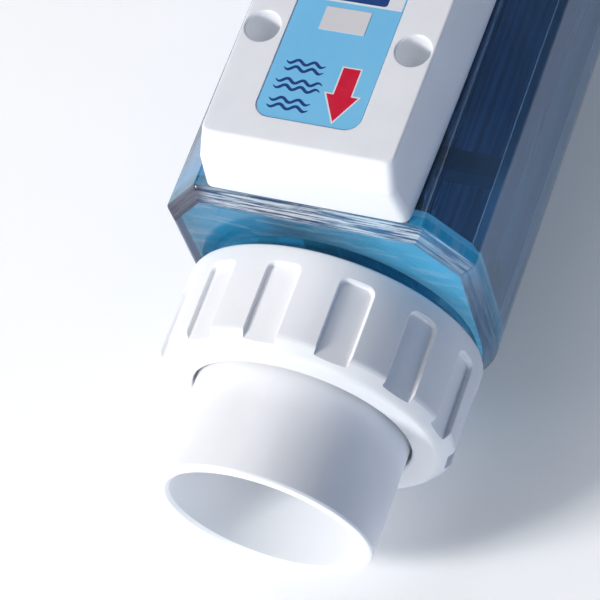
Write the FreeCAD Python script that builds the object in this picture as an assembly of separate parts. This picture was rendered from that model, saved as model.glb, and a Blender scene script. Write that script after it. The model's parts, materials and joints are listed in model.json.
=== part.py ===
"""Inline salt chlorine generator cell for 50 mm solvent-weld pool pipe.

A transparent flow cell holds a pack of titanium electrode plates.  Water runs along +X
and leaves at the outlet socket.  A white terminal cover stands on the flat top of the
cell, over two sealed terminal studs, and a cable gland leaves its inlet end.  Each end
has a threaded adapter, an O-ring, a tailpiece with a pipe socket and a union nut.

Row frame, millimetres: +X is the direction of flow, +Z is up, out of the terminal cover,
and the origin is the centre of the outlet socket's mouth, on the pipe axis.  Shapes are
drawn about the middle of the cell and moved to that origin on export.
"""
import FreeCAD, Part
import math
import os

V = FreeCAD.Vector
X1, Y1, Z1 = V(1, 0, 0), V(0, 1, 0), V(0, 0, 1)

# ---------------------------------------------------------------- driving dimensions
# Positions along X are from the middle of the cell; both ends are alike.
CELL_END_X = 95.0           # end of the full section, where the end bevel starts
CELL_HALF_W = 41.2          # half width of the cell; also the radius of its round underside
CELL_SIDE_TOP_Z = 34.1      # where the upright sides meet the sloping shoulders
CELL_TOP_HALF_W = 29.9
CELL_TOP_Z = 48.0
CELL_WALL = 4.0
CELL_EDGE_R = 1.2           # rounding of the long edges
END_BEVEL = 3.0
CAP_JOINT_X = CELL_END_X - 3.0      # bonded joint between the trough and the end cap
CAP_IN_X = CELL_END_X - 6.0

PIPE_SOCKET_R = 25.1        # 50 mm pipe in its solvent-weld socket
SOCKET_DEPTH = 31.0
TAIL_R = 28.5               # outside of the tailpiece
TAIL_BORE_R = 22.5
TAIL_FLANGE_R = 33.3
TAIL_FLANGE_T = 5.3
MOUTH_X = CELL_END_X + 63.8         # half of the overall length

NUT_R = 39.5
NUT_BACK_X = CELL_END_X + 6.8
NUT_FRONT_X = CELL_END_X + 35.0
NUT_SHOULDER_X = CELL_END_X + 30.0
NUT_HOLE_R = 29.3
NUT_CREST_R = 35.0
NUT_ROOT_R = 36.0
NUT_SLOTS = 13
NUT_SLOT_DEG = 12.8
NUT_SLOT_PHASE = 9.4        # from +Z towards +Y, middle of the land between two slots
NUT_SLOT_DEPTH = 1.6
NUT_SLOT_CORNER_R = 1.9
NUT_SLOT_BACK_X = CELL_END_X + 11.9
# the softened front shoulder: (back from the front face, in from the outside)
NUT_SHOULDER = ((4.4, 0.0), (3.8, 0.1), (3.2, 0.38), (2.5, 0.95), (1.2, 2.1), (0.65, 2.65), (0.25, 3.2), (0.05, 3.7), (0.0, 4.1))
THREAD_LEAD = 5.0

ADAPTER_END_X = CELL_END_X + 24.4
ADAPTER_BORE_R = 23.0
ADAPTER_CREST_R = 34.7
ADAPTER_ROOT_R = 33.6
ADAPTER_COLLAR_R = 36.6
ADAPTER_SPIGOT_R = 30.0

COVER_HALF_L = CELL_END_X
COVER_HALF_W = 26.8
COVER_TOP_HALF_W = 24.7
COVER_Z0 = 48.8
COVER_Z1 = 60.6             # top of the upright band, foot of the sloping end
COVER_INLET_Z1 = 62.9       # the same at the inlet end, where the gland's washer and lock nut need a flat wall
COVER_Z2 = 67.7
COVER_TOP_HALF_L = CELL_END_X - 4.7
COVER_BOW = 1.5             # how much wider the foot is at mid length
COVER_TOP_BOW = 0.4         # and the top
COVER_CORNER_R = 2.4
COVER_WALL = 2.5
GASKET_T = COVER_Z0 - CELL_TOP_Z
SCREW_X = CELL_END_X - 36.2
SCREW_Y = 19.6
SCREW_RECESS_R = 4.4
SCREW_FLOOR_Z = 51.1
INSERT_R = 3.0

LABEL_HALF_W = 13.7
LABEL_HALF_L = CELL_END_X - 11.3
LABEL_R = 4.0
LABEL_RECESS = 0.5

PLATE_YS = (-22.0, -16.5, -11.0, -5.5, 0.0, 5.5, 11.0, 16.5, 22.0)
PLATE_T = 1.0
PLATE_HALF_L = 78.0
PLATE_Z0 = -26.0
PLATE_Z1 = 30.0
LUG_X = 35.0
LUG_HALF = 6.0
LUG_TOP_Z = 34.5
COMB_X = 66.0
STUD_R = 3.0
SEAL_Z0 = 41.2

GLAND_Z = 55.6
GLAND_THREAD_R = 5.95
GLAND_AF = 15.0
CABLE_R = 3.1


# ---------------------------------------------------------------- helpers
def offset_section(d):
    """Corners of the cell's upper outline, moved inwards by d."""
    w, zs, a, zt = CELL_HALF_W, CELL_SIDE_TOP_Z, CELL_TOP_HALF_W, CELL_TOP_Z
    dy, dz = w - a, zs - zt
    n = math.hypot(dy, dz)
    # shoulder line: normal (-dz, dy)/n points outwards
    ny, nz = -dz / n, dy / n
    c = ny * a + nz * zt - d
    top = zt - d
    side = w - d
    return side, (c - ny * side) / nz, (c - nz * top) / ny, top


def corner_arc(p, a, b, r):
    """Arc of radius r that rounds corner p between neighbours a and b: (start, middle, end)."""
    u, w = (a - p).normalize(), (b - p).normalize()
    half = math.acos(max(-1.0, min(1.0, u.dot(w)))) / 2
    t = r / math.tan(half)
    bis = (u + w).normalize()
    c = p + bis * (r / math.sin(half))
    return p + u * t, c - bis * r, p + w * t


def section_wire(x, d=0.0, r=None):
    """Outline of the cell at x, moved inwards by d, with its four upper corners rounded."""
    r = CELL_EDGE_R if r is None else r
    side, zs, a, zt = offset_section(d)
    p = [V(x, side, 0), V(x, side, zs), V(x, a, zt), V(x, -a, zt), V(x, -side, zs), V(x, -side, 0)]
    arcs = [corner_arc(p[k], p[k - 1], p[k + 1], r) for k in (1, 2, 3, 4)]
    edges, at = [], p[0]
    for arc in arcs:
        edges.append(Part.makeLine(at, arc[0]))
        edges.append(Part.Arc(*arc).toShape())
        at = arc[2]
    edges.append(Part.makeLine(at, p[5]))
    edges.append(Part.Arc(p[5], V(x, 0, -side), p[0]).toShape())
    return Part.Wire(edges)


def prism(x0, x1, d=0.0):
    return Part.Face(section_wire(x0, d)).extrude(V(x1 - x0, 0, 0))


def revolve_x(points):
    """Solid of revolution about X from (x, r) points."""
    pts = [V(x, 0, r) for x, r in points]
    pts.append(pts[0])
    return Part.Face(Part.makePolygon(pts)).revolve(V(0, 0, 0), X1, 360)


def cyl_x(r, x0, x1, y=0.0, z=0.0):
    return Part.makeCylinder(r, x1 - x0, V(x0, y, z), X1)


def cyl_z(r, z0, z1, x=0.0, y=0.0):
    return Part.makeCylinder(r, z1 - z0, V(x, y, z0), Z1)


def box(x0, x1, y0, y1, z0, z1):
    return Part.makeBox(x1 - x0, y1 - y0, z1 - z0, V(x0, y0, z0))


def hex_prism_z(af, z0, z1, x, y, turn=0.0):
    r = af / math.sqrt(3)
    pts = [V(x + r * math.cos(math.radians(60 * k + turn)), y + r * math.sin(math.radians(60 * k + turn)), z0) for k in range(7)]
    return Part.Face(Part.makePolygon(pts)).extrude(V(0, 0, z1 - z0))


def hex_prism_x(af, x0, x1, z, turn=0.0):
    r = af / math.sqrt(3)
    pts = [V(x0, r * math.cos(math.radians(60 * k + turn)), z + r * math.sin(math.radians(60 * k + turn))) for k in range(7)]
    return Part.Face(Part.makePolygon(pts)).extrude(V(x1 - x0, 0, 0))


def turned(shape):
    """The same piece at the inlet end: half a turn about the vertical."""
    s = shape.copy()
    s.rotate(V(0, 0, 0), Z1, 180)
    return s


def frustum(levels):
    """Closed solid through rectangles (half_x, half_y, z), bottom to top."""
    rings = [[V(sx * hx, sy * hy, z) for sx, sy in ((-1, -1), (1, -1), (1, 1), (-1, 1))] for hx, hy, z in levels]
    faces = [Part.Face(Part.makePolygon(rings[0] + [rings[0][0]])), Part.Face(Part.makePolygon(rings[-1] + [rings[-1][0]]))]
    for lo, hi in zip(rings, rings[1:]):
        for k in range(4):
            q = [lo[k], lo[(k + 1) % 4], hi[(k + 1) % 4], hi[k]]
            faces.append(Part.Face(Part.makePolygon(q + [q[0]])))
    return Part.makeSolid(Part.makeShell(faces))


def edges_where(shape, test):
    return [e for e in shape.Edges if test(e)]


parts = {}

# ---------------------------------------------------------------- the flow cell
outer = prism(-CAP_JOINT_X, CAP_JOINT_X)
inner = prism(-CAP_JOINT_X - 1, CAP_JOINT_X + 1, CELL_WALL)
cell = outer.cut(inner)
for sx in (-1, 1):
    for sy in (-1, 1):
        boss = cyl_z(5.6, 36.5, CELL_TOP_Z - 1.0, sx * SCREW_X, sy * SCREW_Y)
        cell = cell.fuse(boss.common(prism(-CAP_JOINT_X, CAP_JOINT_X, 1.0)))
for sx in (-1, 1):
    for sy in (-1, 1):
        cell = cell.cut(cyl_z(INSERT_R, 38.5, CELL_TOP_Z + 1, sx * SCREW_X, sy * SCREW_Y))
    cell = cell.cut(cyl_z(STUD_R + 0.2, 40, CELL_TOP_Z + 1, sx * LUG_X, 0))
parts["cell_body"] = cell.removeSplitter()

# end cap: a bevelled plate with a register that fits inside the trough
cap = prism(CAP_JOINT_X, CELL_END_X - 0.7)
# the end bevel, with softly rounded edges: (along the axis, inwards)
bevel_profile = [(-0.7, 0.0), (-0.3, 0.06), (0.05, 0.22), (0.35, 0.46), (END_BEVEL - 0.65, END_BEVEL - 0.54), (END_BEVEL - 0.3, END_BEVEL - 0.12), (END_BEVEL - 0.08, END_BEVEL + 0.3), (END_BEVEL, END_BEVEL + 0.8)]
bevel = Part.makeLoft([section_wire(CELL_END_X + dx, d) for dx, d in bevel_profile], True, True)
cap = cap.fuse(bevel)
register = prism(CAP_IN_X, CAP_JOINT_X, CELL_WALL + 0.05)
cap = cap.fuse(register)
cap = cap.cut(cyl_x(ADAPTER_SPIGOT_R + 0.02, CAP_IN_X - 1, CELL_END_X + END_BEVEL + 1))
cap = cap.removeSplitter()
parts["outlet_end_cap"] = cap
parts["inlet_end_cap"] = turned(cap)

# threaded adapter bonded into the end cap, with an O-ring groove in its end face
FACE_X = CELL_END_X + END_BEVEL
prof = [(CAP_IN_X, ADAPTER_BORE_R), (CAP_IN_X, ADAPTER_SPIGOT_R), (FACE_X, ADAPTER_SPIGOT_R), (FACE_X, ADAPTER_COLLAR_R),
        (FACE_X + 2.0, ADAPTER_COLLAR_R), (FACE_X + 2.5, ADAPTER_COLLAR_R - 0.5), (FACE_X + 2.5, ADAPTER_ROOT_R)]
x = FACE_X + 3.6
while x + 2.6 < ADAPTER_END_X:
    prof += [(x, ADAPTER_ROOT_R), (x + 0.7, ADAPTER_CREST_R), (x + 1.9, ADAPTER_CREST_R), (x + 2.6, ADAPTER_ROOT_R)]
    x += THREAD_LEAD
GROOVE = (26.7, 30.1, 2.95)
prof += [(ADAPTER_END_X - 0.8, ADAPTER_ROOT_R), (ADAPTER_END_X, ADAPTER_ROOT_R - 0.8),
         (ADAPTER_END_X, GROOVE[1]), (ADAPTER_END_X - GROOVE[2], GROOVE[1]), (ADAPTER_END_X - GROOVE[2], GROOVE[0]), (ADAPTER_END_X, GROOVE[0]),
         (ADAPTER_END_X, ADAPTER_BORE_R + 0.8), (ADAPTER_END_X - 0.8, ADAPTER_BORE_R)]
adapter = revolve_x(prof)
parts["outlet_adapter"] = adapter
parts["inlet_adapter"] = turned(adapter)

oring = Part.makeTorus(28.4, 1.45, V(ADAPTER_END_X - 1.45, 0, 0), X1)
parts["outlet_oring"] = oring
parts["inlet_oring"] = turned(oring)

# ---------------------------------------------------------------- tailpiece
F0 = ADAPTER_END_X + 0.1
F1 = F0 + TAIL_FLANGE_T
tail = revolve_x([(F0, TAIL_BORE_R), (F0, TAIL_FLANGE_R - 0.5), (F0 + 0.5, TAIL_FLANGE_R), (F1 - 0.5, TAIL_FLANGE_R), (F1, TAIL_FLANGE_R - 0.5),
                  (F1, TAIL_R), (MOUTH_X - 0.9, TAIL_R), (MOUTH_X - 0.26, TAIL_R - 0.26), (MOUTH_X, TAIL_R - 0.9),
                  (MOUTH_X, PIPE_SOCKET_R + 0.9), (MOUTH_X - 0.9, PIPE_SOCKET_R), (MOUTH_X - SOCKET_DEPTH, PIPE_SOCKET_R), (MOUTH_X - SOCKET_DEPTH, TAIL_BORE_R)])
parts["outlet_tailpiece"] = tail
parts["inlet_tailpiece"] = turned(tail)

# ---------------------------------------------------------------- union nut
prof = [(NUT_BACK_X, NUT_ROOT_R + 0.4), (NUT_BACK_X, NUT_R - 0.6), (NUT_BACK_X + 0.2, NUT_R - 0.2), (NUT_BACK_X + 0.6, NUT_R)]
prof += [(NUT_FRONT_X - dx, NUT_R - dr) for dx, dr in NUT_SHOULDER]
prof += [(NUT_FRONT_X, NUT_HOLE_R + 0.7), (NUT_FRONT_X - 0.25, NUT_HOLE_R + 0.2), (NUT_FRONT_X - 0.7, NUT_HOLE_R), (NUT_SHOULDER_X, NUT_HOLE_R), (NUT_SHOULDER_X, NUT_ROOT_R)]
x = NUT_SHOULDER_X - 4.0
while x - 2.6 > NUT_BACK_X + 1.0:
    prof += [(x, NUT_ROOT_R), (x - 0.7, NUT_CREST_R), (x - 1.9, NUT_CREST_R), (x - 2.6, NUT_ROOT_R)]
    x -= THREAD_LEAD
prof += [(NUT_BACK_X + 0.4, NUT_ROOT_R)]
nut = revolve_x(prof)
half = NUT_R * math.sin(math.radians(NUT_SLOT_DEG / 2))
# the slot's section: (distance from the axis, how far the outline is moved outwards)
slot_levels = [(NUT_R - NUT_SLOT_DEPTH, -0.42), (NUT_R - NUT_SLOT_DEPTH + 0.08, -0.16), (NUT_R - NUT_SLOT_DEPTH + 0.25, -0.03), (NUT_R - 0.62, 0.0),
               (NUT_R - 0.45, 0.06), (NUT_R - 0.33, 0.17), (NUT_R - 0.22, 0.38), (NUT_R + 0.3, 0.75), (NUT_R + 2.0, 1.6)]


def slot_outline(z, grow):
    h, xb, xf, r = half + grow, NUT_SLOT_BACK_X - grow, NUT_FRONT_X + 2, NUT_SLOT_CORNER_R + grow
    q = r * (1 - math.sqrt(0.5))
    p = [V(xf, -h, z), V(xf, h, z), V(xb + r, h, z), V(xb, h - r, z), V(xb, -h + r, z), V(xb + r, -h, z)]
    return Part.Wire([Part.makeLine(p[0], p[1]), Part.makeLine(p[1], p[2]), Part.Arc(p[2], V(xb + q, h - q, z), p[3]).toShape(),
                      Part.makeLine(p[3], p[4]), Part.Arc(p[4], V(xb + q, -h + q, z), p[5]).toShape(), Part.makeLine(p[5], p[0])])


cutter = Part.makeLoft([slot_outline(z, grow) for z, grow in slot_levels], True, True)
for k in range(NUT_SLOTS):
    b = cutter.copy()
    b.rotate(V(0, 0, 0), X1, -(NUT_SLOT_PHASE + (k + 0.5) * 360.0 / NUT_SLOTS))
    nut = nut.cut(b)
parts["outlet_union_nut"] = nut.Solids[0] if len(nut.Solids) == 1 else nut
nut_in = nut.copy()
nut_in.rotate(V(0, 0, 0), Z1, 180)
parts["inlet_union_nut"] = nut_in.Solids[0] if len(nut_in.Solids) == 1 else nut_in

# ---------------------------------------------------------------- terminal cover
def half_w(z):
    return COVER_HALF_W + (COVER_TOP_HALF_W - COVER_HALF_W) * (z - COVER_Z0) / (COVER_Z2 - COVER_Z0)


def rounded_ring(hx, hy, r, z, bow=0.0, cx0=0.0):
    """Rectangle with rounded corners, centred on x = cx0, as a wire at height z; its long sides bulge by bow at mid length."""
    edges = []
    c = [(hx - r, hy - r, 0), (-(hx - r), hy - r, 90), (-(hx - r), -(hy - r), 180), (hx - r, -(hy - r), 270)]
    pts = []
    for cx, cy, a0 in c:
        pts.append([V(cx0 + cx + r * math.cos(math.radians(a0 + d)), cy + r * math.sin(math.radians(a0 + d)), z) for d in (0, 45, 90)])
    for k in range(4):
        edges.append(Part.Arc(*pts[k]).toShape())
        a, b = pts[k][2], pts[(k + 1) % 4][0]
        if bow and k in (0, 2):
            edges.append(Part.Arc(a, V(cx0, math.copysign(hy + bow, a.y), z), b).toShape())
        else:
            edges.append(Part.makeLine(a, b))
    return Part.Wire(edges)


def rounded_loft(levels):
    return Part.makeLoft([rounded_ring(*v) for v in levels], True, True)


def bow_at(z):
    return COVER_BOW + (COVER_TOP_BOW - COVER_BOW) * (z - COVER_Z0) / (COVER_Z2 - COVER_Z0)


def end_at(z, z1):
    """Distance of one end of the cover from mid length at height z; its upright band reaches up to z1."""
    if z <= z1:
        return COVER_HALF_L - 0.2 * (z - COVER_Z0) / (z1 - COVER_Z0)
    return COVER_HALF_L - 0.2 + (COVER_TOP_HALF_L - COVER_HALF_L + 0.2) * (z - z1) / (COVER_Z2 - z1)


def ring_between(out, inl, hy, r, z, bow=0.0):
    """One level of a loft whose outlet end is at x = out and whose inlet end is at x = -inl."""
    return (out + inl) / 2, hy, r, z, bow, (out - inl) / 2


def cover_level(z, inset=0.0):
    return ring_between(end_at(z, COVER_Z1) - inset, end_at(z, COVER_INLET_Z1) - inset, half_w(z) - inset, COVER_CORNER_R - inset, z, bow_at(z))


# the last three levels round the top edge softly
shell = rounded_loft([cover_level(COVER_Z0), cover_level(COVER_Z1), cover_level(COVER_INLET_Z1), cover_level(COVER_Z2 - 0.6),
                      cover_level(COVER_Z2 - 0.25, 0.09), cover_level(COVER_Z2 - 0.07, 0.29), cover_level(COVER_Z2, 0.58)])
solid_cover = shell.copy()
IN_L = COVER_HALF_L - COVER_WALL
IN_TOP_L = COVER_TOP_HALF_L - COVER_WALL + 0.6
CAV_Z1, CAV_Z2 = COVER_Z1 - 0.4, COVER_Z2 - COVER_WALL
cavity = rounded_loft([ring_between(IN_L, IN_L, half_w(COVER_Z0) - COVER_WALL, 1.5, COVER_Z0 - 1),
                       ring_between(IN_L, IN_L, half_w(CAV_Z1) - COVER_WALL, 1.5, CAV_Z1),
                       ring_between(IN_L + (IN_TOP_L - IN_L) * (COVER_INLET_Z1 - CAV_Z1) / (CAV_Z2 - CAV_Z1), IN_L, half_w(COVER_INLET_Z1) - COVER_WALL, 1.5, COVER_INLET_Z1),
                       ring_between(IN_TOP_L, IN_TOP_L, half_w(COVER_Z2) - COVER_WALL, 1.5, CAV_Z2)])
cover = shell.cut(cavity)
for sx in (-1, 1):
    for sy in (-1, 1):
        cover = cover.fuse(cyl_z(6.4, COVER_Z0, COVER_Z2 - 1, sx * SCREW_X, sy * SCREW_Y).common(solid_cover))
for sx in (-1, 1):
    for sy in (-1, 1):
        cover = cover.cut(cyl_z(SCREW_RECESS_R, SCREW_FLOOR_Z, COVER_Z2 + 1, sx * SCREW_X, sy * SCREW_Y))
        cover = cover.cut(cyl_z(2.2, COVER_Z0 - 1, SCREW_FLOOR_Z + 1, sx * SCREW_X, sy * SCREW_Y))
        cover = cover.cut(Part.makeCone(SCREW_RECESS_R, SCREW_RECESS_R + 0.4, 0.4, V(sx * SCREW_X, sy * SCREW_Y, COVER_Z2 - 0.39), Z1))
pad = box(-LABEL_HALF_L, LABEL_HALF_L, -LABEL_HALF_W, LABEL_HALF_W, COVER_Z2 - LABEL_RECESS, COVER_Z2 + 1)
pad = pad.makeFillet(LABEL_R, edges_where(pad, lambda e: abs(e.Vertexes[0].Z - e.Vertexes[1].Z) > 1))
cover = cover.cut(pad)
cover = cover.cut(cyl_x(GLAND_THREAD_R + 0.15, -COVER_HALF_L - 1, -COVER_HALF_L + COVER_WALL + 1, 0, GLAND_Z))
parts["terminal_cover"] = cover.removeSplitter()

gasket = box(-COVER_HALF_L + 0.6, COVER_HALF_L - 0.6, -COVER_HALF_W + 0.6, COVER_HALF_W - 0.6, CELL_TOP_Z, COVER_Z0)
gasket = gasket.cut(box(-COVER_HALF_L + COVER_WALL, COVER_HALF_L - COVER_WALL, -COVER_HALF_W + COVER_WALL, COVER_HALF_W - COVER_WALL, CELL_TOP_Z - 1, COVER_Z0 + 1))
for sx in (-1, 1):
    for sy in (-1, 1):
        gasket = gasket.fuse(cyl_z(6.0, CELL_TOP_Z, COVER_Z0, sx * SCREW_X, sy * SCREW_Y).common(
            box(-COVER_HALF_L, COVER_HALF_L, -COVER_HALF_W + 0.6, COVER_HALF_W - 0.6, CELL_TOP_Z, COVER_Z0)))
for sx in (-1, 1):
    for sy in (-1, 1):
        gasket = gasket.cut(cyl_z(2.2, CELL_TOP_Z - 1, COVER_Z0 + 1, sx * SCREW_X, sy * SCREW_Y))
parts["cover_gasket"] = gasket.removeSplitter()

label = box(-LABEL_HALF_L + 0.3, LABEL_HALF_L - 0.3, -LABEL_HALF_W + 0.3, LABEL_HALF_W - 0.3, COVER_Z2 - LABEL_RECESS, COVER_Z2 - LABEL_RECESS + 0.3)
label = label.makeFillet(LABEL_R - 0.3, edges_where(label, lambda e: abs(e.Vertexes[0].Z - e.Vertexes[1].Z) > 0.2))
parts["label_plate"] = label
# small blank sticker for the rating data, on the label
parts["rating_sticker"] = box(CELL_END_X - 44.9, CELL_END_X - 38.1, -5.6, 6.2, COVER_Z2 - LABEL_RECESS + 0.3, COVER_Z2 - LABEL_RECESS + 0.42)

screws = []
for sx in (-1, 1):
    for sy in (-1, 1):
        px, py = sx * SCREW_X, sy * SCREW_Y
        s = cyl_z(1.9, 40.0, SCREW_FLOOR_Z + 0.5, px, py).fuse(cyl_z(3.9, SCREW_FLOOR_Z, SCREW_FLOOR_Z + 2.6, px, py))
        s = s.makeFillet(0.9, edges_where(s, lambda e: len(e.Vertexes) == 1 and abs(e.Vertexes[0].Z - SCREW_FLOOR_Z - 2.6) < 1e-6))
        top = SCREW_FLOOR_Z + 2.6
        s = s.cut(box(px - 2.1, px + 2.1, py - 0.45, py + 0.45, top - 1.5, top + 1)).cut(box(px - 0.45, px + 0.45, py - 2.1, py + 2.1, top - 1.5, top + 1))
        screws.append(s.removeSplitter())
parts["cover_screws"] = Part.makeCompound([s.Solids[0] for s in screws])
parts["screw_inserts"] = Part.makeCompound([cyl_z(INSERT_R - 0.02, 38.9, CELL_TOP_Z - 0.1, sx * SCREW_X, sy * SCREW_Y).cut(cyl_z(1.95, 38, CELL_TOP_Z + 1, sx * SCREW_X, sy * SCREW_Y))
                                            for sx in (-1, 1) for sy in (-1, 1)])

# ---------------------------------------------------------------- electrode pack
def plate(y, lug_sign):
    p = box(-PLATE_HALF_L, PLATE_HALF_L, y - PLATE_T / 2, y + PLATE_T / 2, PLATE_Z0, PLATE_Z1)
    p = p.makeFillet(3.0, edges_where(p, lambda e: abs(e.Vertexes[0].Y - e.Vertexes[1].Y) > 0.5))
    lug = box(lug_sign * LUG_X - LUG_HALF, lug_sign * LUG_X + LUG_HALF, y - PLATE_T / 2, y + PLATE_T / 2, PLATE_Z1 - 1, LUG_TOP_Z)
    return p.fuse(lug).removeSplitter().Solids[0]


parts["anode_plates"] = Part.makeCompound([plate(y, 1) for y in PLATE_YS[0::2]])
parts["cathode_plates"] = Part.makeCompound([plate(y, -1) for y in PLATE_YS[1::2]])


def comb_upper(x):
    w = CELL_HALF_W - CELL_WALL - 0.1
    c = box(x - 3, x + 3, -w, w, 25.0, 31.5)
    c = c.makeFillet(1.0, edges_where(c, lambda e: abs(e.Vertexes[0].X - e.Vertexes[1].X) > 1))
    for y in PLATE_YS:
        c = c.cut(box(x - 4, x + 4, y - PLATE_T / 2 - 0.1, y + PLATE_T / 2 + 0.1, 20, PLATE_Z1 + 0.1))
    return c.Solids[0]


def comb_lower(x):
    c = box(x - 3, x + 3, -26, 26, -38, -21.5).common(cyl_x(CELL_HALF_W - CELL_WALL - 0.1, x - 5, x + 5))
    c = c.cut(box(x - 5, x + 5, -12, 12, -33.2, -29.2))
    for y in PLATE_YS:
        c = c.cut(box(x - 5, x + 5, y - PLATE_T / 2 - 0.1, y + PLATE_T / 2 + 0.1, PLATE_Z0 - 0.1, 0))
    return c.Solids[0]


parts["upper_plate_combs"] = Part.makeCompound([comb_upper(-COMB_X), comb_upper(COMB_X)])
parts["lower_plate_combs"] = Part.makeCompound([comb_lower(-COMB_X), comb_lower(COMB_X)])

parts["anode_bus_bar"] = box(LUG_X - LUG_HALF, LUG_X + LUG_HALF, -23.5, 23.5, LUG_TOP_Z, LUG_TOP_Z + 2)
parts["cathode_bus_bar"] = box(-LUG_X - LUG_HALF, -LUG_X + LUG_HALF, -18.0, 18.0, LUG_TOP_Z, LUG_TOP_Z + 2)

for name, sx in (("anode", 1), ("cathode", -1)):
    px = sx * LUG_X
    stud = cyl_z(STUD_R, LUG_TOP_Z + 2, 61.0, px, 0).fuse(cyl_z(7.0, SEAL_Z0 - 2.5, SEAL_Z0, px, 0)).removeSplitter()
    stud = stud.makeChamfer(0.6, edges_where(stud, lambda e: len(e.Vertexes) == 1 and abs(e.Vertexes[0].Z - 61.0) < 1e-6))
    parts[name + "_stud"] = stud


def two(make):
    return Part.makeCompound([make(LUG_X), make(-LUG_X)])


parts["stud_seals"] = two(lambda x: cyl_z(6.6, SEAL_Z0, CELL_TOP_Z - CELL_WALL, x, 0).cut(cyl_z(STUD_R + 0.02, SEAL_Z0 - 1, CELL_TOP_Z, x, 0)))
parts["stud_washers"] = two(lambda x: cyl_z(6.2, CELL_TOP_Z, CELL_TOP_Z + 1.2, x, 0).cut(cyl_z(STUD_R + 0.1, CELL_TOP_Z - 1, CELL_TOP_Z + 2, x, 0)))
N0 = CELL_TOP_Z + 1.2
parts["stud_nuts"] = two(lambda x: hex_prism_z(10, N0, N0 + 5, x, 0, 30).cut(cyl_z(STUD_R + 0.03, N0 - 1, N0 + 6, x, 0)))
parts["terminal_nuts"] = two(lambda x: hex_prism_z(10, N0 + 5, N0 + 9, x, 0, 10).cut(cyl_z(STUD_R + 0.03, N0 + 4, N0 + 10, x, 0)))

# ---------------------------------------------------------------- cable gland, on the inlet end of the cover
WALL_OUT = -COVER_HALF_L + 0.1
WASHER_X = WALL_OUT - 1.2


def at_gland(points):
    s = revolve_x([(x, r) for x, r in points])
    s.translate(V(0, 0, GLAND_Z))
    return s


washer = at_gland([(WASHER_X, GLAND_THREAD_R + 0.05), (WASHER_X, 7.0), (WALL_OUT - 0.1, 7.0), (WALL_OUT - 0.1, GLAND_THREAD_R + 0.05)])
parts["gland_washer"] = washer
TAIL_IN = WALL_OUT + 7.1
gland = at_gland([(TAIL_IN, 3.9), (TAIL_IN, GLAND_THREAD_R - 0.5), (TAIL_IN - 0.5, GLAND_THREAD_R), (WASHER_X, GLAND_THREAD_R), (WASHER_X, 7.4), (WASHER_X - 4.6, 7.4),
                  (WASHER_X - 4.6, 5.3), (WASHER_X - 12.0, 5.3), (WASHER_X - 12.0, 4.6), (WASHER_X - 5.6, 4.6), (WASHER_X - 4.8, 3.9)])
gland = gland.fuse(hex_prism_x(GLAND_AF, WASHER_X - 4.6, WASHER_X, GLAND_Z, 0).cut(cyl_x(5.0, WASHER_X - 6, WASHER_X + 1, 0, GLAND_Z)))
parts["gland_body"] = gland.removeSplitter()
LOCK_X = -COVER_HALF_L + COVER_WALL + 0.1
parts["gland_lock_nut"] = hex_prism_x(14.0, LOCK_X, LOCK_X + 3.4, GLAND_Z, 0).cut(cyl_x(GLAND_THREAD_R + 0.03, LOCK_X - 1, LOCK_X + 5, 0, GLAND_Z))
SEAL_X = WASHER_X - 12.0
parts["gland_seal"] = at_gland([(WASHER_X - 6.3, CABLE_R), (WASHER_X - 6.3, 4.45), (SEAL_X - 0.15, 4.45), (SEAL_X - 0.15, 5.2), (SEAL_X - 1.4, 5.2), (SEAL_X - 2.2, 4.4), (SEAL_X - 2.2, CABLE_R)])
D0 = WASHER_X - 4.9
dome = at_gland([(D0, 5.6), (D0, 7.5), (D0 - 8.0, 7.5), (D0 - 10.2, 7.0), (D0 - 11.9, 5.9), (D0 - 12.9, 4.4), (D0 - 13.1, 3.4), (D0 - 10.4, 3.4), (D0 - 9.0, 5.6)])
hexed = hex_prism_x(GLAND_AF, D0 - 6.4, D0, GLAND_Z, 0).cut(cyl_x(6.5, D0 - 7, D0 + 1, 0, GLAND_Z))
dome = dome.fuse(hexed).removeSplitter()
parts["gland_dome_nut"] = dome

# ---------------------------------------------------------------- export
os.makedirs("parts", exist_ok=True)
total = 0.0
for name, shape in parts.items():
    s = shape.copy()
    s.translate(V(-MOUTH_X, 0, 0))
    ok = s.isValid() and all(q.isClosed() for q in s.Shells)
    vol = sum(q.Volume for q in s.Solids)
    total += vol
    b = s.BoundBox
    print(f"{name:20s} solids {len(s.Solids)} valid {ok} vol {vol/1000:8.2f} cm3  x {b.XMin:7.1f} {b.XMax:7.1f}  y {b.YMin:6.1f} {b.YMax:6.1f}  z {b.ZMin:6.1f} {b.ZMax:6.1f}")
    s.exportStep(os.path.join("parts", name + ".step"))
print("parts", len(parts), "volume", round(total / 1000, 1), "cm3")
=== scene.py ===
"""Looks for the inline salt chlorine generator cell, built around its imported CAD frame."""
import json
import math

import bmesh
import bpy
from mathutils import Matrix, Vector


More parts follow.
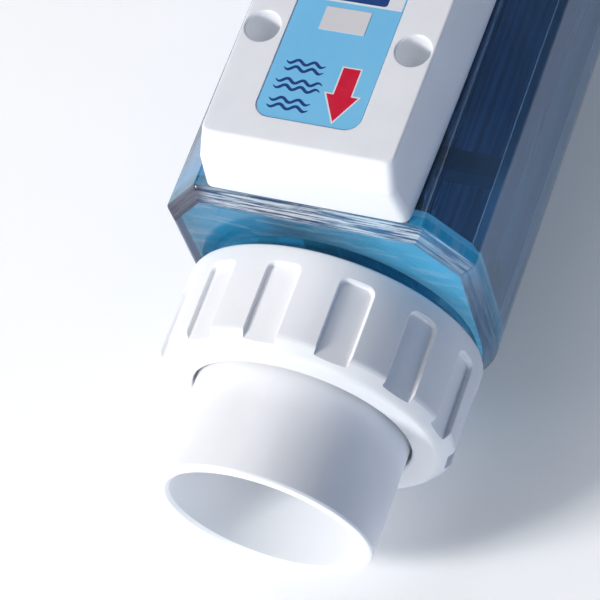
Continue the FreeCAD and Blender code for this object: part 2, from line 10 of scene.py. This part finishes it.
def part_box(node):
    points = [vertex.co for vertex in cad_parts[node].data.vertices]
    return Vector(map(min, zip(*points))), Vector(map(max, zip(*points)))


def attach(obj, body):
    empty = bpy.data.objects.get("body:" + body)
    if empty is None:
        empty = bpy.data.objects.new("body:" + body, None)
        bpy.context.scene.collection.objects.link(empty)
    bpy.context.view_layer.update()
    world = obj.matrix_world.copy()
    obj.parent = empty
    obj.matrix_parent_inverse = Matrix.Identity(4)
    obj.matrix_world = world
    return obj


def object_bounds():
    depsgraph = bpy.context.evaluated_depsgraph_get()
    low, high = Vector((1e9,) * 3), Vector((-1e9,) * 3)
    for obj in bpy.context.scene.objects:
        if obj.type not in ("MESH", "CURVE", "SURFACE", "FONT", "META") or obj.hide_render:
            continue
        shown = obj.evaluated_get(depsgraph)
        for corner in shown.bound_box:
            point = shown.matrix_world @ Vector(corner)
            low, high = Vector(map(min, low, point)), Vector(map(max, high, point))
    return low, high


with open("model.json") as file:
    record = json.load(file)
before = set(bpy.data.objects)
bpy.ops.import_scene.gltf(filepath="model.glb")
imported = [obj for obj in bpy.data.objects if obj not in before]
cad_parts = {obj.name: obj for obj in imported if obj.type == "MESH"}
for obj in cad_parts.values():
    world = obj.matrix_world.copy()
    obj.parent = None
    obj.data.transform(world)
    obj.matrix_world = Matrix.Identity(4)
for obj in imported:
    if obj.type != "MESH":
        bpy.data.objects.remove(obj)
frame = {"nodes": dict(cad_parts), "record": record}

CAD_BOX = [list(map(float, c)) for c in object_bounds()]
NODES = frame["nodes"]
ROOT = "cell"


# ---------------------------------------------------------------- node helpers
class Mat:
    """A material with a short way to add and join nodes."""

    def __init__(self, name):
        self.m = bpy.data.materials.new(name)
        self.m.use_nodes = True
        self.nt = self.m.node_tree
        self.bsdf = self.nt.nodes["Principled BSDF"]
        self.out = self.nt.nodes["Material Output"]
        self._co = None

    def node(self, kind, **props):
        n = self.nt.nodes.new(kind)
        for k, v in props.items():
            setattr(n, k, v)
        return n

    def link(self, a, b):
        self.nt.links.new(a, b)

    def put(self, n, key, value):
        """Sets a socket to a number or colour, or joins it to another socket."""
        s = n.inputs[key]
        if hasattr(value, "is_linked"):
            self.link(value, s)
        else:
            s.default_value = value

    def co(self, scale=(1, 1, 1), rot=(0, 0, 0), loc=(0, 0, 0)):
        """Object coordinates in metres, through a Mapping."""
        if self._co is None:
            self._co = self.node("ShaderNodeTexCoord").outputs["Object"]
        mp = self.node("ShaderNodeMapping")
        self.link(self._co, mp.inputs["Vector"])
        mp.inputs["Scale"].default_value = scale
        mp.inputs["Rotation"].default_value = rot
        mp.inputs["Location"].default_value = loc
        return mp.outputs["Vector"]

    def noise(self, scale, detail=3.0, rough=0.5, co=None, dist=0.0):
        n = self.node("ShaderNodeTexNoise")
        self.link(co if co is not None else self.co(), n.inputs["Vector"])
        self.put(n, "Scale", scale)
        self.put(n, "Detail", detail)
        self.put(n, "Roughness", rough)
        self.put(n, "Distortion", dist)
        return n.outputs["Fac"]

    def voronoi(self, scale, co=None, feature="F1", out="Distance"):
        n = self.node("ShaderNodeTexVoronoi", feature=feature)
        self.link(co if co is not None else self.co(), n.inputs["Vector"])
        self.put(n, "Scale", scale)
        return n.outputs[out]

    def remap(self, v, a, b, c=0.0, d=1.0, smooth=True):
        n = self.node("ShaderNodeMapRange", interpolation_type="SMOOTHSTEP" if smooth else "LINEAR")
        self.put(n, "Value", v)
        for k, x in zip(("From Min", "From Max", "To Min", "To Max"), (a, b, c, d)):
            self.put(n, k, x)
        return n.outputs["Result"]

    def math(self, op, a, b=0.0, c=0.0, clamp=False):
        n = self.node("ShaderNodeMath", operation=op, use_clamp=clamp)
        for i, x in enumerate((a, b, c)):
            if hasattr(x, "is_linked"):
                self.link(x, n.inputs[i])
            else:
                n.inputs[i].default_value = x
        return n.outputs[0]

    def mix(self, fac, a, b, blend="MIX"):
        n = self.node("ShaderNodeMix", data_type="RGBA", blend_type=blend)
        for key, x in ((0, fac), (6, a), (7, b)):
            if hasattr(x, "is_linked"):
                self.link(x, n.inputs[key])
            else:
                n.inputs[key].default_value = x if key == 0 else (*x, 1.0)[:4]
        return n.outputs[2]

    def bump(self, height, strength, distance, normal=None):
        n = self.node("ShaderNodeBump")
        self.put(n, "Strength", strength)
        self.put(n, "Distance", distance)
        self.link(height, n.inputs["Height"])
        if normal is not None:
            self.link(normal, n.inputs["Normal"])
        return n.outputs["Normal"]

    def xyz(self, v=None):
        n = self.node("ShaderNodeSeparateXYZ")
        self.link(v if v is not None else self.co(), n.inputs[0])
        return n.outputs


def lin(r, g, b):
    """sRGB 0-255 to linear."""
    def f(c):
        c /= 255.0
        return c / 12.92 if c <= 0.04045 else ((c + 0.055) / 1.055) ** 2.4
    return (f(r), f(g), f(b))


# ---------------------------------------------------------------- materials
def moulded_white(name, base, warm, rough, grain_scale, grain, sss=0.12, painted_light=None):
    """White moulded plastic: faint flow marks, handling scuffs, a fine surface grain, and a painted glow where one is
    given.
    """
    k = Mat(name)
    cloud = k.noise(22.0, 4.0, 0.55)
    fine = k.noise(260.0, 3.0, 0.6)
    col = k.mix(k.remap(cloud, 0.35, 0.7), base, warm)
    specks = k.remap(k.noise(900.0, 2.0, 0.5), 0.70, 0.80)
    col = k.mix(k.math("MULTIPLY", specks, 0.10), col, (0.45, 0.45, 0.44))
    k.put(k.bsdf, "Base Color", col)
    # hairline scuffs: thin stretched noise, in two directions
    s1 = k.remap(k.noise(1.0, 2.0, 0.6, k.co((60, 900, 900), (0.3, 0.2, 0.5))), 0.66, 0.72)
    s2 = k.remap(k.noise(1.0, 2.0, 0.6, k.co((800, 70, 800), (0.1, 0.5, -0.4))), 0.68, 0.74)
    scuff = k.math("MAXIMUM", s1, s2)
    r = k.math("ADD", k.remap(fine, 0.3, 0.7, rough - 0.05, rough + 0.07), k.math("MULTIPLY", scuff, 0.12))
    k.put(k.bsdf, "Roughness", r)
    h = k.math("ADD", k.math("MULTIPLY", k.noise(grain_scale, 2.0, 0.5), 1.0), k.math("MULTIPLY", cloud, 0.6))
    h = k.math("SUBTRACT", h, k.math("MULTIPLY", scuff, 0.35))
    k.put(k.bsdf, "Normal", k.bump(h, grain, 0.0002))
    k.put(k.bsdf, "IOR", 1.53)
    k.put(k.bsdf, "Subsurface Weight", sss)
    k.put(k.bsdf, "Subsurface Radius", (0.9, 0.95, 1.0))
    k.put(k.bsdf, "Subsurface Scale", 0.002)
    if painted_light is not None:
        # painted light: a glow that brightens the inside of a recess the lamps leave too dark
        where, strength = painted_light(k)
        k.put(k.bsdf, "Emission Color", (0.86, 0.93, 0.96, 1.0))
        k.put(k.bsdf, "Emission Strength", k.math("MULTIPLY", where, strength))
    return k.m


MID_X = -0.1588         # middle of the cell, in the row frame


def bonded(k, where):
    """1 on the faces where two bonded clear pieces meet, which can't be seen in a real joint."""
    x, y, z = k.xyz()[:3]
    xc = k.math("ABSOLUTE", k.math("SUBTRACT", x, MID_X))
    ay = k.math("ABSOLUTE", y)
    r = k.math("SQRT", k.math("ADD", k.math("MULTIPLY", y, y), k.math("MULTIPLY", z, z)))

    def over(v, t):
        return k.math("GREATER_THAN", v, t)

    def under(v, t):
        return k.math("LESS_THAN", v, t)

    def both(a, b):
        return k.math("MULTIPLY", a, b)

    def either(a, b):
        return k.math("MAXIMUM", a, b)

    if where == "cell":
        # the trough's end faces, and its inner wall behind the end caps' registers
        slope = k.math("ADD", k.math("MULTIPLY", ay, 0.7759), k.math("MULTIPLY", z, 0.6308))
        inner = both(both(under(slope, 0.0515), under(z, 0.046)), both(under(ay, 0.0392), either(over(z, 0.0), under(r, 0.0392))))
        return either(over(xc, 0.09199), both(over(xc, 0.08901), inner))
    if where == "cap":
        # the register's sides and step, the bore round the adapter, and the face under its collar
        return either(either(both(over(xc, 0.08901), under(xc, 0.09201)), under(r, 0.0301)), both(over(xc, 0.09799), under(r, 0.03665)))
    # the adapter's spigot and the back of its collar
    return both(both(over(xc, 0.08901), under(xc, 0.09801)), over(r, 0.0298))


def clear_plastic(name, tint, lamp_tint, trans, where, rough=0.025, edge=None):
    """Clear cast plastic with a blue tint; lamps shine through it.

    trans is how clear it is: the rest is a milky share of the same tint. edge gives the cut
    and flame-polished bevels a colour, a painted reflection colour and a clearness of their own.
    """
    k = Mat(name)
    flow = k.noise(1.0, 3.0, 0.55, k.co((9, 60, 60)))
    col = k.mix(k.remap(flow, 0.3, 0.7), tint, tuple(c * 0.90 for c in tint))
    if edge is not None:
        # the cast cap's tint is deeper and darker towards the -y side; over the middle, above the bore, a painted
        # shadow of the union nut greys it, and lighter lengthwise streaks are a painted reflection
        yy = k.xyz()[1]
        nut_shadow_paint = k.math("MULTIPLY", k.remap(k.math("ABSOLUTE", yy), 0.004, 0.024, 1.0, 0.0), k.remap(k.noise(1.0, 4.0, 0.6, k.co((40, 160, 900))), 0.3, 0.7, 0.35, 0.85))
        col = k.mix(k.remap(yy, -0.034, -0.012), tuple(c * q for c, q in zip(tint, (0.45, 0.78, 0.80))), col)
        col = k.mix(nut_shadow_paint, col, lin(104, 124, 148))
        # painted reflection: lighter lengthwise streaks
        streak = k.remap(k.noise(1.0, 4.0, 0.6, k.co((30, 70, 420), (0.25, 0.0, 0.0))), 0.50, 0.64)
        col = k.mix(k.math("MULTIPLY", streak, 0.42), col, lin(176, 196, 214))
    if where == "cell":
        # bluer and less clear along the -y side, next to the glued ends
        x, y = k.xyz()[:2]
        zone = k.math("MULTIPLY", k.remap(y, -0.025, -0.031), k.remap(k.math("ABSOLUTE", k.math("SUBTRACT", x, MID_X)), 0.074, 0.090))
        col = k.mix(zone, col, lin(74, 156, 204))
        trans = k.math("SUBTRACT", trans, k.math("MULTIPLY", zone, 0.45))
    haze = k.remap(k.noise(140.0, 4.0, 0.6), 0.45, 0.75)
    scr = k.remap(k.noise(1.0, 2.0, 0.6, k.co((45, 1100, 1100), (0.15, 0.1, 0.2))), 0.68, 0.73)
    ro = k.math("ADD", k.math("MULTIPLY_ADD", haze, 0.035, rough), k.math("MULTIPLY", scr, 0.10))
    tw = k.math("SUBTRACT", trans, k.math("MULTIPLY", k.remap(k.noise(18.0, 3.0, 0.6), 0.35, 0.75), 0.10))
    h = k.math("ADD", k.math("MULTIPLY", flow, 1.0), k.math("MULTIPLY", k.noise(38.0, 3.0, 0.5), 0.35))
    if edge is not None:
        # the bevel's own face: its normal leans half way from the end face to the sides
        geo = k.node("ShaderNodeTexCoord")
        n = k.xyz(geo.outputs["Normal"])
        nx, nz = k.math("ABSOLUTE", n[0]), k.math("ABSOLUTE", n[2])
        bev = k.math("MULTIPLY", k.remap(nx, 0.25, 0.45), k.remap(nx, 0.97, 0.88))
        marks = k.noise(1.0, 4.0, 0.7, k.co((2600, 60, 60)))
        # painted reflection: silvery lines, strongest on the top bevel; the other bevels stay dark with a few of them,
        # darkest and least clear on the far -y side
        lines = k.remap(marks, 0.38, 0.62)
        painted_glint = k.math("MULTIPLY", lines, k.remap(nz, 0.30, 0.62, 0.30, 1.0))
        across = k.xyz()[1]
        painted_glint = k.math("MULTIPLY", painted_glint, k.remap(across, -0.030, -0.023, 0.14, 1.0))
        ecol = k.mix(painted_glint, k.mix(k.remap(across, -0.030, -0.024), lin(34, 38, 68), edge[0]), edge[1])
        col = k.mix(bev, col, ecol)
        clear = k.math("MULTIPLY", k.remap(painted_glint, 0.0, 1.0, edge[2], edge[2] - 0.35), k.remap(across, -0.030, -0.024, 0.40, 1.0))
        tw = k.math("ADD", k.math("MULTIPLY", tw, k.math("SUBTRACT", 1.0, bev)), k.math("MULTIPLY", bev, clear))
        # a dark blue, less clear strip along the end face's border on the far side
        line = k.math("MULTIPLY", k.remap(nx, 0.97, 0.99), k.remap(across, -0.0350, -0.0356))
        col = k.mix(line, col, lin(46, 66, 100))
        tw = k.math("MULTIPLY", tw, k.math("SUBTRACT", 1.0, k.math("MULTIPLY", line, 0.75)))
        ro = k.math("ADD", ro, k.math("MULTIPLY", bev, 0.07))
        h = k.math("ADD", h, k.math("MULTIPLY", k.math("MULTIPLY", marks, bev), 0.5))
    k.put(k.bsdf, "Base Color", col)
    k.put(k.bsdf, "Roughness", ro)
    k.put(k.bsdf, "Normal", k.bump(h, 0.10, 0.002))
    k.put(k.bsdf, "IOR", 1.49)
    k.put(k.bsdf, "Specular IOR Level", 0.5 if edge is None else 0.32)
    k.put(k.bsdf, "Transmission Weight", tw)
    if edge is not None:
        # painted light: a glow on the end face, faint at the -y side and strong at the +y side, where the union nut
        # shades it
        k.put(k.bsdf, "Emission Color", (*lin(104, 166, 196), 1.0))
        k.put(k.bsdf, "Emission Strength", k.math("MULTIPLY", k.remap(k.xyz()[1], -0.010, 0.036, 0.02, 0.36), k.remap(nx, 0.93, 0.99)))
    lp = k.node("ShaderNodeLightPath")
    tr = k.node("ShaderNodeBsdfTransparent")
    tr.inputs["Color"].default_value = (*lamp_tint, 1)
    mx = k.node("ShaderNodeMixShader")
    k.link(lp.outputs["Is Shadow Ray"], mx.inputs[0])
    k.link(k.bsdf.outputs[0], mx.inputs[1])
    k.link(tr.outputs[0], mx.inputs[2])
    through = k.node("ShaderNodeBsdfTransparent")
    joint = k.node("ShaderNodeMixShader")
    k.link(bonded(k, where), joint.inputs[0])
    k.link(mx.outputs[0], joint.inputs[1])
    k.link(through.outputs[0], joint.inputs[2])
    k.link(joint.outputs[0], k.out.inputs["Surface"])
    return k.m


def plate_metal(name, dark, light, metallic, rough, streak=1.0):
    """Electrode sheet: rolled along its length, with an uneven oxide coat."""
    k = Mat(name)
    st = k.noise(1.0, 5.0, 0.65, k.co((7, 420, 420)))
    st2 = k.noise(1.0, 4.0, 0.6, k.co((16, 1500, 1500)))
    blot = k.noise(55.0, 4.0, 0.6)
    f = k.math("ADD", k.math("MULTIPLY", st, 0.6 * streak), k.math("MULTIPLY", blot, 1 - 0.6 * streak))
    col = k.mix(k.remap(f, 0.36, 0.66), dark, light)
    k.put(k.bsdf, "Base Color", col)
    k.put(k.bsdf, "Metallic", metallic)
    k.put(k.bsdf, "Roughness", k.remap(st2, 0.3, 0.7, rough - 0.08, rough + 0.12))
    k.put(k.bsdf, "Normal", k.bump(k.math("ADD", st2, k.math("MULTIPLY", st, 0.5)), 0.25, 0.0003))
    return k.m


def turned_metal(name, base, dark, rough, metallic=1.0):
    k = Mat(name)
    n = k.noise(1.0, 4.0, 0.6, k.co((900, 900, 5200)))
    b = k.noise(300.0, 3.0, 0.6)
    k.put(k.bsdf, "Base Color", k.mix(k.remap(b, 0.35, 0.7), base, dark))
    k.put(k.bsdf, "Metallic", metallic)
    k.put(k.bsdf, "Roughness", k.remap(n, 0.3, 0.7, rough - 0.07, rough + 0.12))
    k.put(k.bsdf, "Normal", k.bump(n, 0.2, 0.0001))
    return k.m


def soft_dark(name, base, dusty, rough, grain_scale=2600.0, grain=0.35):
    """Rubber or nylon: matt, finely grained, a little dusty."""
    k = Mat(name)
    d = k.noise(120.0, 4.0, 0.6)
    k.put(k.bsdf, "Base Color", k.mix(k.remap(d, 0.45, 0.8), base, dusty))
    k.put(k.bsdf, "Roughness", k.remap(k.noise(500.0, 3.0, 0.5), 0.3, 0.7, rough - 0.06, rough + 0.08))
    k.put(k.bsdf, "Normal", k.bump(k.noise(grain_scale, 2.0, 0.5), grain, 0.0001))
    return k.m


def printed(name, base, shade, rough=0.32):
    """Printed sheet: an even ink with a faint dot screen and slight unevenness."""
    k = Mat(name)
    cloud = k.noise(35.0, 3.0, 0.5)
    dots = k.voronoi(5200.0)
    f = k.math("ADD", k.math("MULTIPLY", k.remap(cloud, 0.3, 0.7), 0.55), k.math("MULTIPLY", k.remap(dots, 0.15, 0.55), 0.22), clamp=True)
    k.put(k.bsdf, "Base Color", k.mix(f, base, shade))
    k.put(k.bsdf, "Roughness", k.remap(k.noise(420.0, 3.0, 0.5), 0.3, 0.7, rough - 0.05, rough + 0.08))
    k.put(k.bsdf, "Normal", k.bump(k.noise(1400.0, 2.0, 0.5), 0.06, 0.0001))
    k.put(k.bsdf, "Specular IOR Level", 0.22)
    return k.m


def socket_painted_glow(k):
    """The bore and lip of each pipe socket, where a painted glow brightens them, and the glow's strength."""
    x, y, z = k.xyz()[:3]
    r = k.math("SQRT", k.math("ADD", k.math("MULTIPLY", y, y), k.math("MULTIPLY", z, z)))
    xc = k.math("ABSOLUTE", k.math("SUBTRACT", x, MID_X))
    bore = k.math("MULTIPLY", k.remap(r, 0.0262, 0.0256), k.remap(xc, 0.120, 0.150))
    return k.math("MAXIMUM", bore, k.remap(xc, 0.1578, 0.1586, 0.0, 1.3)), 0.085


hole_lo, hole_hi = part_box("cover_screws")
HOLE_X = ((hole_hi.x - hole_lo.x) / 2 - 0.0039, (hole_lo.x + hole_hi.x) / 2)
HOLE_Y = (hole_hi.y - hole_lo.y) / 2 - 0.0039


def recess_painted_glow(k):
    """The four screw recesses, where a painted glow brightens them, and the glow's strength."""
    x, y, z = k.xyz()[:3]
    dx = k.math("SUBTRACT", k.math("ABSOLUTE", k.math("SUBTRACT", x, HOLE_X[1])), HOLE_X[0])
    dy = k.math("SUBTRACT", k.math("ABSOLUTE", y), HOLE_Y)
    r = k.math("SQRT", k.math("ADD", k.math("MULTIPLY", dx, dx), k.math("MULTIPLY", dy, dy)))
    return k.math("MULTIPLY", k.remap(r, 0.0050, 0.0047), k.remap(z, 0.0677, 0.0667)), 0.075


M_PVC = moulded_white("white_pvc", lin(244, 245, 249), lin(238, 239, 243), 0.34, 1500.0, 0.05, painted_light=socket_painted_glow)
M_COVER = moulded_white("white_cover", lin(243, 245, 250), lin(237, 239, 246), 0.38, 2600.0, 0.10, 0.25, painted_light=recess_painted_glow)
LAMP = lin(215, 236, 246)
M_CELL = clear_plastic("clear_cell", lin(148, 184, 213), LAMP, 0.88, "cell")
M_CAP = clear_plastic("clear_end_cap", lin(58, 164, 204), LAMP, 0.62, "cap", edge=(lin(92, 112, 150), lin(240, 244, 250), 0.72))
M_ADAPTER = clear_plastic("clear_adapter", lin(70, 166, 204), LAMP, 0.68, "adapter")
M_ANODE = plate_metal("coated_titanium", lin(38, 55, 88), lin(124, 152, 190), 0.22, 0.56)
M_CATHODE = plate_metal("bare_titanium", lin(70, 76, 88), lin(112, 118, 128), 0.95, 0.36, 0.8)
M_STEEL = turned_metal("stainless_steel", lin(200, 201, 204), lin(150, 152, 156), 0.28)
M_BRASS = turned_metal("brass", lin(214, 178, 104), lin(160, 120, 60), 0.30)
M_RUBBER = soft_dark("black_rubber", lin(22, 22, 24), lin(62, 61, 60), 0.62)
M_GASKET = soft_dark("grey_rubber", lin(98, 101, 108), lin(140, 140, 142), 0.68)
M_NYLON = soft_dark("black_nylon", lin(26, 27, 30), lin(58, 58, 60), 0.42, 1800.0, 0.2)
M_COMB = soft_dark("comb_plastic", lin(34, 48, 72), lin(60, 76, 104), 0.40, 1500.0, 0.15)
M_BLUE = printed("label_blue", lin(130, 206, 246), lin(116, 196, 242), 0.42)
M_WHITE_INK = printed("label_white", lin(240, 242, 246), lin(226, 229, 235))
M_NAVY = printed("label_navy", lin(0, 66, 140), lin(0, 52, 120), 0.42)
M_RED = printed("label_red", lin(224, 0, 56), lin(208, 0, 48), 0.46)
M_STICKER = printed("sticker_paper", lin(232, 231, 234), lin(218, 216, 220), 0.55)

BY_SLOT = {
    "clear_plastic": M_CELL, "white_pvc": M_PVC, "white_cover": M_COVER, "grey_rubber": M_GASKET, "black_rubber": M_RUBBER,
    "label_sheet": M_BLUE, "sticker": M_STICKER, "stainless_steel": M_STEEL, "brass": M_BRASS, "coated_titanium": M_ANODE,
    "bare_titanium": M_CATHODE, "comb_plastic": M_COMB, "black_nylon": M_NYLON,
}
SLOT_OF = {s["node"]: s["material_slot"] for s in frame["record"]["subparts"]}
for name, o in NODES.items():
    m = M_CAP if name.endswith("end_cap") else M_ADAPTER if name.endswith("adapter") else BY_SLOT[SLOT_OF[name]]
    if not o.material_slots:
        o.data.materials.append(m)
    for s in o.material_slots:
        s.material = m


# ---------------------------------------------------------------- thin printed pieces on the label
def piece(name, mesh, body, mat):
    o = bpy.data.objects.new(name, mesh)
    bpy.context.scene.collection.objects.link(o)
    mesh.materials.append(mat)
    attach(o, body)
    return o


def slab(outline, z0, z1, name):
    """A thin solid with this outline of (x, y) in millimetres, from z0 to z1."""
    bm = bmesh.new()
    lo = [bm.verts.new((x / 1000, y / 1000, z0 / 1000)) for x, y in outline]
    f = bm.faces.new(lo)
    if f.normal.z > 0 or sum((a[0] * b[1] - b[0] * a[1]) for a, b in zip(outline, outline[1:] + outline[:1])) > 0:
        f.normal_flip()
    top = bmesh.ops.extrude_face_region(bm, geom=[f])
    for v in (g for g in top["geom"] if isinstance(g, bmesh.types.BMVert)):
        v.co.z = z1 / 1000
    bmesh.ops.recalc_face_normals(bm, faces=bm.faces)
    me = bpy.data.meshes.new(name)
    bm.to_mesh(me)
    bm.free()
    return me


def round_rect(x0, x1, y0, y1, r, n=8):
    """Outline with rounded corners. r is one radius, or one for each corner: (x1,y1), (x0,y1), (x0,y0), (x1,y0)."""
    rr = [r] * 4 if not hasattr(r, "__len__") else list(r)
    pts = []
    for (cx, cy, a0), q in zip(((x1, y1, 0), (x0, y1, 90), (x0, y0, 180), (x1, y0, 270)), rr):
        sx, sy = (-1 if cx == x1 else 1), (-1 if cy == y1 else 1)
        if q <= 0:
            pts.append((cx, cy))
            continue
        for i in range(n + 1):
            a = math.radians(a0 + 90 * i / n)
            pts.append((cx + sx * q + q * math.cos(a), cy + sy * q + q * math.sin(a)))
    return pts


lab_lo, lab_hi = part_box("label_plate")
LZ = lab_hi.z * 1000                    # top of the label sheet
LX0, LX1, LY0, LY1 = lab_lo.x * 1000, lab_hi.x * 1000, lab_lo.y * 1000, lab_hi.y * 1000
BLUE_BACK = -110.4
INK = 0.02

# white header field over the rear of the label, its rear corners rounded with the sheet
head = slab(round_rect(LX0 + 0.25, BLUE_BACK, LY0 + 0.25, LY1 - 0.25, (0, 3.4, 3.4, 0)), LZ - 0.01, LZ + INK, "label_header")
piece("label_header", head, ROOT, M_WHITE_INK)

# flow arrow: white outline with the red arrow on it, its tip towards the outlet
ay, tail_x, neck_x, tip_x, hw, tw = 6.6, -92.2, -84.4, -77.0, 4.1, 2.2


def arrow(grow):
    g = grow
    slope = (tip_x - neck_x) / hw
    head_w = hw + g * (1 + math.hypot(1, slope)) / slope
    tip = tip_x + g * math.hypot(1, slope)
    return [(tail_x - g, ay - tw - g), (neck_x - g, ay - tw - g), (neck_x - g, ay - head_w), (tip, ay), (neck_x - g, ay + head_w), (neck_x - g, ay + tw + g), (tail_x - g, ay + tw + g)]


piece("arrow_outline", slab(arrow(0.38), LZ - 0.01, LZ + INK, "arrow_outline"), ROOT, M_WHITE_INK)
piece("arrow_red", slab(arrow(0.0), LZ - 0.01, LZ + 2 * INK, "arrow_red"), ROOT, M_RED)


def wave(xc, y0, y1, amp, waves, width, z0, z1, name, taper=True):
    """A printed water wave: a ribbon along Y that swings along X."""
    n = 96
    left, right = [], []
    for i in range(n + 1):
        t = i / n
        y = y0 + (y1 - y0) * t
        x = xc + amp * math.sin(2 * math.pi * waves * t)
        dx = amp * 2 * math.pi * waves / (y1 - y0) * math.cos(2 * math.pi * waves * t)
        l = math.hypot(1, dx)
        w = width / 2 * (min(1.0, 0.25 + 6 * min(t, 1 - t)) if taper else 1.0)
        nx, ny = 1 / l, -dx / l
        left.append((x - nx * w, y - ny * w))
        right.append((x + nx * w, y + ny * w))
    return slab(left + right[::-1], z0, z1, name)


for i, (xc, y0, y1, wv) in enumerate(((-90.7, -10.3, -0.1, 2.5), (-85.2, -11.2, 0.8, 3.0), (-79.7, -11.0, -0.3, 2.5))):
    for j, off in enumerate((-0.95, 0.95)):
        piece(f"wave_{i}_{j}", wave(xc + off, y0, y1, 0.55, wv, 0.8, LZ - 0.01, LZ + INK, f"wave_{i}_{j}"), ROOT, M_NAVY)

# generic dark bars where the header's print would be
for i, (x0, x1, y0, y1) in enumerate(((-114.6, -111.0, -7.2, 9.2), (-124.0, -119.0, -9.0, 9.0), (-131.0, -128.4, -9.0, 9.0))):
    piece(f"header_bar_{i}", slab(round_rect(x0, x1, y0, y1, 0.9), LZ - 0.01, LZ + 2 * INK, f"header_bar_{i}"), ROOT, M_NAVY)

# ---------------------------------------------------------------- stage, lights, camera
floor_z = CAD_BOX[0][2] - 0.0004


def stage_floor():
    me = bpy.data.meshes.new("floor")
    bm = bmesh.new()
    bmesh.ops.create_grid(bm, x_segments=24, y_segments=24, size=3.0)
    bm.to_mesh(me)
    bm.free()
    o = bpy.data.objects.new("floor", me)
    o.location = (-0.1, 0, floor_z)
    bpy.context.scene.collection.objects.link(o)
    k = Mat("floor_paper")
    n = k.noise(6.0, 4.0, 0.5)
    k.put(k.bsdf, "Base Color", k.mix(k.remap(n, 0.3, 0.7), (0.95, 0.953, 0.96), (0.925, 0.93, 0.94)))
    k.put(k.bsdf, "Roughness", k.remap(k.noise(300.0, 3.0, 0.5), 0.3, 0.7, 0.75, 0.9))
    k.put(k.bsdf, "Normal", k.bump(k.noise(1200.0, 2.0, 0.5), 0.05, 0.0002))
    k.put(k.bsdf, "Emission Color", (0.93, 0.96, 1.0, 1.0))
    k.put(k.bsdf, "Emission Strength", 0.15)
    me.materials.append(k.m)


stage_floor()

world = bpy.data.worlds.new("studio")
bpy.context.scene.world = world
world.use_nodes = True
bg = world.node_tree.nodes["Background"]
bg.inputs[0].default_value = (0.80, 0.82, 1.0, 1)
bg.inputs[1].default_value = 0.035


def area(name, pos, target, size, watts, colour, spread=180):
    d = bpy.data.lights.new(name, "AREA")
    d.shape = "RECTANGLE"
    d.size, d.size_y = size
    d.energy = watts
    d.color = colour
    d.spread = math.radians(spread)
    o = bpy.data.objects.new(name, d)
    bpy.context.scene.collection.objects.link(o)
    o.location = pos
    o.rotation_euler = (Vector(target) - Vector(pos)).to_track_quat("-Z", "Y").to_euler()
    return o


C = Vector((-0.08, 0, 0.0))
area("key", C + Vector((0.78, -0.72, 0.70)), C, (0.30, 0.30), 13.3, (1.0, 0.985, 0.965))
area("top", C + Vector((-0.30, -0.38, 1.05)), C, (0.9, 0.7), 4.5, (0.94, 0.94, 1.0))
area("blue_fill", C + Vector((0.12, 0.95, 0.16)), C, (0.8, 0.30), 1.25, (0.20, 0.48, 1.0))
area("front_fill", C + Vector((1.15, 0.10, 0.26)), C, (0.5, 0.2), 3.0, (0.86, 0.96, 1.0))

cam_d = bpy.data.cameras.new("camera")
cam = bpy.data.objects.new("camera", cam_d)
bpy.context.scene.collection.objects.link(cam)
cam_d.lens = 153.93
cam_d.sensor_width = 36.0
cam_d.clip_start = 0.05
cam_d.clip_end = 20.0
right = Vector((-0.32574597, 0.92123089, -0.2126575))
up = Vector((-0.8518087, -0.18835942, 0.48881763))
back = Vector((0.41025785, 0.34037388, 0.8460698))
m = Matrix((right, up, back)).transposed().to_4x4()
m.translation = Vector((0.21053, 0.21422, 0.56219))
cam.matrix_world = m
bpy.context.scene.camera = cam

vs = bpy.context.scene.view_settings
vs.view_transform = "Standard"
vs.look = "None"
vs.exposure = 0.0
